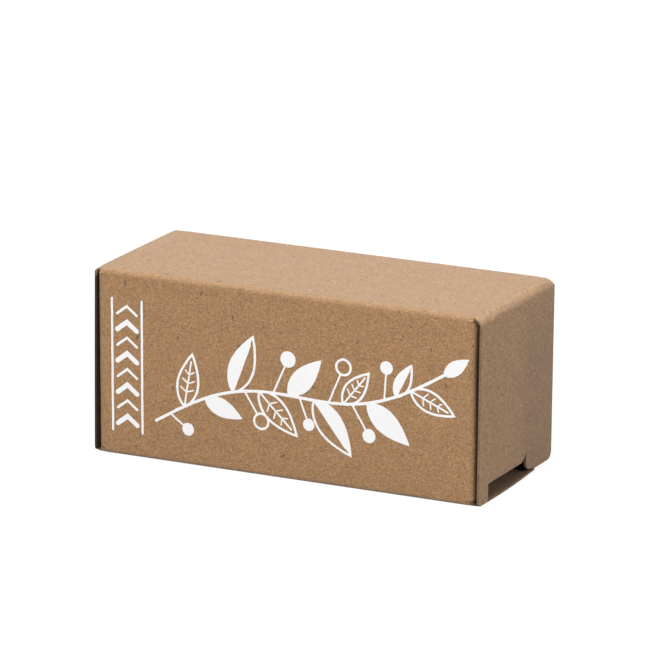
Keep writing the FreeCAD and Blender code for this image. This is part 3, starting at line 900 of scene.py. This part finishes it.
def make_lug():
    """The lug's plate: round at its eye, with the edges broken on both faces."""
    half = LUG_WIDTH / 2
    eye = LUG_END + half
    steps = 24
    angles = [math.pi * k / steps for k in range(steps + 1)]
    outer = [(LUG_ROOT, half)] + [(eye - half * math.sin(a), half * math.cos(a)) for a in angles]
    outer.append((LUG_ROOT, -half))
    hole = []
    for x, z in outer:
        way = Vector((x - eye, z)).normalized()
        hole.append((eye + way.x * LUG_HOLE / 2, way.y * LUG_HOLE / 2))
    rows = []
    half_thick = LUG_THICKNESS / 2
    flat = half_thick - EDGE_BREAK
    levels = [(-half_thick, EDGE_BREAK), (-flat, 0.0), (flat, 0.0), (half_thick, EDGE_BREAK)]
    for loop, sign in ((outer, -1), (hole, 1)):
        for y, shrink in levels:
            row = []
            for x, z in loop:
                way = Vector((x - eye, z)).normalized() * (sign * shrink)
                row.append((x + way.x, y, FOB_AXIS + z + way.y))
            rows.append(row)
    rows = rows[:len(levels)] + rows[:len(levels) - 1:-1]
    points = [point for row in rows for point in row]
    numbers = [list(range(k * len(outer), (k + 1) * len(outer))) for k in range(len(rows))]
    piece = new_piece("cap_lug", points, joined(numbers), [aluminium])
    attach(piece, "cap")


def make_seal():
    middle = (HEAD_END + SEAT_END) / 2
    profile = [(middle + a, SEAL_RADIUS + b) for a, b in circle(SEAL_WIRE / 2, count=16)]
    lathe("seal_o_ring", profile, rubber, "seal", "seal_ring")


def make_link(node, slope, upright, sizes):
    """A round-wire oval link, centred where its solid is."""
    bend = (sizes["width"] + sizes["wire"]) / 2
    half = (sizes["inside"] + sizes["wire"]) / 2 - bend
    low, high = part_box(node)
    centre = (low + high) / (2 * MM)
    angle = math.radians(slope)
    along = Vector((math.cos(angle), 0, math.sin(angle)))
    across = Vector((-math.sin(angle), 0, math.cos(angle))) if upright else Y_AXIS
    normal = along.cross(across)
    steps = 20
    points = []
    sides = []
    for end in (1, -1):
        for step in range(steps + 1):
            turn = math.pi * (step / steps - 0.5)
            out = along * (end * math.cos(turn)) + across * (end * math.sin(turn))
            points.append(centre + along * (end * half) + out * bend)
            sides.append(out)
    ups = [normal] * len(points)
    piece = swept(node + "_wire", points, sides, ups, circle(sizes["wire"] / 2), nickel, True)
    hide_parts(node)
    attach(piece, node)


def make_split_ring():
    """Two turns of flat wire that climb past each other in a short step."""
    swing = next(joint for joint in frame["joints"] if joint["name"] == "split_ring_swing")
    pivot = Vector(swing["pos_m"]) / MM
    height = 2 * RING_RISE + RING_WIRE_HEIGHT
    drop = pivot.z - height / 2 - RING_REST - FOB_AXIS - FOB_RADIUS
    dip = math.asin(drop / (2 * RING_RADIUS))
    tilt = Matrix.Rotation(dip, 3, "Y")
    half_step = RING_STEP_ANGLE / 2
    first = half_step
    last = 720 - half_step
    steps = 200
    points = []
    sides = []
    for step in range(steps + 1):
        turn = first + (last - first) * step / steps
        share = clamped((turn - 360 + half_step) / RING_STEP_ANGLE)
        level = RING_RISE * (2 * share * share * (3 - 2 * share) - 1)
        angle = math.radians(turn + RING_STEP_PLACE)
        out = Vector((math.cos(angle), math.sin(angle), 0))
        points.append(pivot + tilt @ (X_AXIS * RING_RADIUS + out * RING_RADIUS + Z_AXIS * level))
        sides.append(tilt @ out)
    ups = [tilt @ Z_AXIS] * len(points)
    a = RING_WIRE_RADIAL / 2
    b = RING_WIRE_HEIGHT / 2
    corners = [(-a, -b, WIRE_EDGE), (a, -b, WIRE_EDGE), (a, b, WIRE_EDGE), (-a, b, WIRE_EDGE)]
    outline = [tuple(point) for point in rounded_outline(corners, steps=3)]
    piece = swept("key_ring_wire", points, sides, ups, outline, nickel, False)
    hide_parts("split_ring")
    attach(piece, "split_ring")


make_tube()
make_cap()
make_thread()
make_lug()
make_seal()
for node, (slope, upright, sizes) in CHAIN.items():
    make_link(node, slope, upright, sizes)
make_split_ring()


# Print on the front: a leafy sprig with berries, and a band of chevrons, in (u, v) on the panel

class Ink:
    """Bands of ink gathered into one piece that lies on the front panel."""

    def __init__(self):
        self.points = []
        self.faces = []

    def band(self, pairs, layer, closed=False):
        """A thin strip of ink between pairs of edge points (u, v), on a layer so that strips can cross."""
        first = len(self.points)
        for pair in pairs:
            for u, v in pair:
                shift = noise.noise_vector(Vector((u, v, 0)) * WOBBLE_SCALE) * INK_WOBBLE
                for lift in (INK_LIFT + layer * INK_STEP, -INK_SINK):
                    point, _ = sleeve_place(u + shift.x, FRONT_START + INNER_Z - v - shift.y, -lift)
                    self.points.append(point)
        rows = len(pairs)
        for row in range(rows if closed else rows - 1):
            a = first + 4 * row
            b = first + 4 * ((row + 1) % rows)
            self.faces += [[a, a + 2, b + 2, b], [a + 1, b + 1, b + 3, a + 3], [a, b, b + 1, a + 1],
                           [a + 2, a + 3, b + 3, b + 2]]
        if not closed:
            for a in (first, first + 4 * (rows - 1)):
                self.faces.append([a, a + 1, a + 3, a + 2])

    def stroke(self, line, layer, width=LINE, closed=False):
        """A line of even width, with round ends if it is open."""
        line = drawn_out([Vector(point) for point in line], closed)
        half = width / 2
        count = len(line)
        pairs = []
        for index, point in enumerate(line):
            before = line[index - 1] if index > 0 or closed else None
            after = line[(index + 1) % count] if index < count - 1 or closed else None
            steps = ((before, point), (point, after))
            sides = [left_of(end - start) for start, end in steps if start and end]
            side = sum(sides, Vector((0, 0))).normalized()
            reach = half / max(MITRE_LIMIT, side.dot(sides[0]))
            pairs.append((point + side * reach, point - side * reach))
        if not closed:
            first_end = [(right, left) for left, right in reversed(self.round_end(line[1], line[0], half))]
            pairs = first_end + pairs + self.round_end(line[-2], line[-1], half)
        self.band(pairs, layer, closed)

    @staticmethod
    def round_end(before, end, half):
        run = (end - before).normalized()
        side = left_of(run)
        return [(end + run * (half * math.sin(a)) + side * (half * math.cos(a)),
                 end + run * (half * math.sin(a)) - side * (half * math.cos(a))) for a in END_ANGLES]

    def disc(self, centre, radius, layer):
        pairs = []
        for index in range(1, DISC_STEPS):
            angle = math.pi * index / DISC_STEPS
            middle = centre - Vector((radius * math.cos(angle), 0))
            half = Vector((0, radius * math.sin(angle)))
            pairs.append((middle + half, middle - half))
        self.band(pairs, layer)

    def ring(self, centre, radius, layer):
        line = [centre + Vector((math.cos(a), math.sin(a))) * radius
                for a in [2 * math.pi * k / RING_STEPS for k in range(RING_STEPS)]]
        self.stroke(line, layer, closed=True)

    def finish(self, name):
        piece = new_piece(name, self.points, self.faces, [white_ink])
        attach(piece, "carton")


def left_of(run):
    """The unit vector square to a run, on its left."""
    return Vector((-run.y, run.x)).normalized()


def drawn_out(line, closed):
    """The line with points added so that no step is long, and it can follow the panel's bow."""
    points = []
    for start, end in zip(line, line[1:] + line[:1] if closed else line[1:]):
        count = max(1, math.ceil((end - start).length / LINE_STEP))
        points += [start.lerp(end, k / count) for k in range(count)]
    return points if closed else points + [line[-1]]


def leaf_edges(base, heading, length, width, count=18):
    """A pointed leaf's left edge, spine and right edge, widest before its middle."""
    along = Vector((math.cos(heading), math.sin(heading)))
    side = left_of(along)
    rows = []
    for index in range(count + 1):
        share = index / count
        swell = max(LEAF_TIP, width / 2 * math.sin(math.pi * share ** LEAF_LEAN) ** LEAF_ROUND)
        spine = base + along * (length * share)
        rows.append((spine + side * swell, spine, spine - side * swell))
    return rows


def draw_leaf(ink, base, heading, length, width, style):
    rows = leaf_edges(base, heading, length, width)
    if style == "filled":
        ink.band([(left, right) for left, _, right in rows], 1)
        return
    if style == "half":
        ink.band([(left, spine) for left, spine, _ in rows], 1)
    outline = [left for left, _, _ in rows] + [right for _, _, right in rows[-2:0:-1]]
    ink.stroke(outline, 2, closed=True)
    ink.stroke([base, base.lerp(rows[-1][1], SPINE_SHARE)], 3, LINE * FINE)
    if style == "veined":
        for index in VEIN_ROWS:
            for edge in (0, 2):
                end = rows[index][1].lerp(rows[index + 2][edge], VEIN_SHARE)
                ink.stroke([rows[index][1], end], 4, LINE * VEIN)


def stem_point(share):
    """The sprig's stem, a long shallow curve up the panel."""
    u = STEM_FOOT[0] + STEM_SPAN[0] * share
    v = STEM_FOOT[1] + STEM_SPAN[1] * share + STEM_WAVE * math.sin(math.pi * 2 * share)
    return Vector((u, v))


def stem_heading(share):
    ahead = stem_point(share + HEADING_STEP) - stem_point(share - HEADING_STEP)
    return math.atan2(ahead.y, ahead.x)


LEAVES = [  # place along the stem, side, turn from the stem in degrees, length, width and style
    (0.10, 1, 52, 10.5, 4.4, "veined"), (0.17, -1, 44, 8.6, 3.6, "filled"), (0.27, 1, 56, 12.0, 5.0, "half"),
    (0.36, -1, 48, 11.0, 4.6, "veined"), (0.46, 1, 50, 10.4, 4.3, "filled"),
    (0.55, -1, 50, 12.4, 5.2, "half"), (0.65, 1, 46, 8.4, 3.8, "veined"),
    (0.73, -1, 52, 11.4, 4.6, "filled"), (0.83, 1, 40, 7.0, 3.0, "half"),
    (0.88, -1, 50, 9.6, 4.0, "veined"), (0.99, 1, 4, 6.4, 2.8, "filled"),
]
BERRIES = [  # place along the stem, side, stalk length, radius and whether it is filled
    (0.05, -1, 3.4, 1.25, True), (0.31, -1, 5.0, 1.5, False), (0.41, 1, 6.0, 1.6, True),
    (0.50, -1, 4.2, 1.2, True), (0.60, 1, 6.4, 1.5, False), (0.68, -1, 5.4, 1.35, True),
    (0.79, 1, 5.0, 1.3, True),
]
CHEVRON_PLACES = [6.4 + 3.1 * k for k in range(8)]


def draw_sprig():
    ink = Ink()
    ink.stroke([stem_point(k / STEM_STEPS) for k in range(STEM_STEPS + 1)], 0, LINE * STEM)
    for share, side, turn, length, width, style in LEAVES:
        heading = stem_heading(share) + math.radians(side * turn)
        draw_leaf(ink, stem_point(share), heading, length, width, style)
    ink.finish("print_sprig")


def draw_berries():
    ink = Ink()
    for share, side, stalk, radius, filled in BERRIES:
        heading = stem_heading(share) + math.radians(side * BERRY_TURN)
        way = Vector((math.cos(heading), math.sin(heading)))
        base = stem_point(share)
        ink.stroke([base, base + way * stalk], 5, LINE * FINE)
        centre = base + way * (stalk + radius)
        if filled:
            ink.disc(centre, radius, 6)
        else:
            ink.ring(centre, radius, 6)
    ink.finish("print_berries")


def draw_chevrons():
    """An upright band of chevrons between two fine lines near the left end."""
    ink = Ink()
    middle = CHEVRON_MIDDLE
    left = middle - CHEVRON_HALF_WIDTH
    right = middle + CHEVRON_HALF_WIDTH
    for index, v in enumerate(CHEVRON_PLACES):
        ink.stroke([(left, v), (middle, v + CHEVRON_RISE), (right, v)], 0, CHEVRON_WIDTHS[index % 2])
    for u in (middle - BAND_HALF_WIDTH, middle + BAND_HALF_WIDTH):
        ink.stroke([(u, v) for v in BAND_ENDS], 0)
    ink.finish("print_chevrons")


noise.seed_set(WOBBLE_SEED)
draw_sprig()
draw_berries()
draw_chevrons()


# Floor, light and camera, with places in metres

def seen_white(tree):
    """One for what the camera sees, also in metal and through glass, and zero for the light on the object."""
    rays = add(tree, "ShaderNodeLightPath").outputs
    seen = rays["Is Camera Ray"]
    for kind in ("Is Glossy Ray", "Is Transmission Ray"):
        seen = add(tree, "ShaderNodeMath", {0: seen, 1: rays[kind]}, operation="MAXIMUM").outputs[0]
    return seen


def make_floor():
    """A pale floor that the camera sees as white, faintly darker where the carton shades it."""
    half = 3.0
    mesh = bpy.data.meshes.new("floor")
    level = -0.00003  # just below the carton
    corners = [(-half, -half, level), (half, -half, level), (half, half, level), (-half, half, level)]
    mesh.from_pydata(corners, [], [(0, 1, 2, 3)])
    floor = linked("floor", mesh)
    made, tree, _ = new_material("floor_white")
    tree.nodes.clear()
    seen = seen_white(tree)
    plain = add(tree, "ShaderNodeBsdfDiffuse", {"Color": (0.3, 0.3, 0.3, 1)})
    shade = add(tree, "ShaderNodeBsdfDiffuse", {"Color": (0.16, 0.16, 0.16, 1)})
    glow = add(tree, "ShaderNodeEmission", {"Color": (1, 1, 1, 1), "Strength": 0.9})
    both = add(tree, "ShaderNodeAddShader", {0: shade.outputs[0], 1: glow.outputs[0]})
    mix = add(tree, "ShaderNodeMixShader", {0: seen, 1: plain.outputs[0], 2: both.outputs[0]})
    add(tree, "ShaderNodeOutputMaterial", {"Surface": mix.outputs[0]})
    mesh.materials.append(made)


def make_world():
    world = bpy.data.worlds.new("studio")
    bpy.context.scene.world = world
    world.use_nodes = True
    tree = world.node_tree
    tree.nodes.clear()
    seen = seen_white(tree)
    fill = add(tree, "ShaderNodeBackground", {"Color": (1, 0.99, 0.975, 1), "Strength": 0.09})
    white = add(tree, "ShaderNodeBackground", {"Color": (1, 1, 1, 1), "Strength": 1.0})
    mix = add(tree, "ShaderNodeMixShader", {0: seen, 1: fill.outputs[0], 2: white.outputs[0]})
    add(tree, "ShaderNodeOutputWorld", {"Surface": mix.outputs[0]})


def add_softbox(name, place, target, width, height, power):
    light = bpy.data.lights.new(name, "AREA")
    light.shape = "RECTANGLE"
    light.size = width
    light.size_y = height
    light.energy = power
    holder = linked(name, light)
    holder.location = place
    holder.rotation_euler = (Vector(target) - Vector(place)).to_track_quat("-Z", "Y").to_euler()


def make_camera():
    """The photograph's view, worked out from the carton's outline and its visible edges."""
    azimuth = math.radians(26.67)
    elevation = math.radians(15.6)
    distance = 1.1108
    target = Vector((0.0007, 0, 0.02623))
    back = Vector((math.sin(azimuth) * math.cos(elevation), -math.cos(azimuth) * math.cos(elevation),
                   math.sin(elevation)))
    data = bpy.data.cameras.new("camera")
    data.lens = 324.5
    data.sensor_width = 36.0
    data.clip_start = 0.05
    data.clip_end = 20.0
    camera = linked("camera", data)
    turn = (-back).to_track_quat("-Z", "Y").to_matrix()
    camera.matrix_world = Matrix.Translation(target + back * distance) @ turn.to_4x4()
    bpy.context.scene.camera = camera


make_floor()
make_world()
add_softbox("top_light", (0.0, 0.25, 0.85), (0, 0, 0), 0.5, 0.5, 5.3)
add_softbox("front_light", (-0.25, -0.72, 0.6), (0, 0, 0.02), 0.25, 0.5, 6.1)
add_softbox("right_light", (0.62, -0.4, 0.4), (0.04, 0, 0.02), 0.35, 0.35, 3.4)
make_camera()
bpy.context.scene.view_settings.view_transform = "Standard"
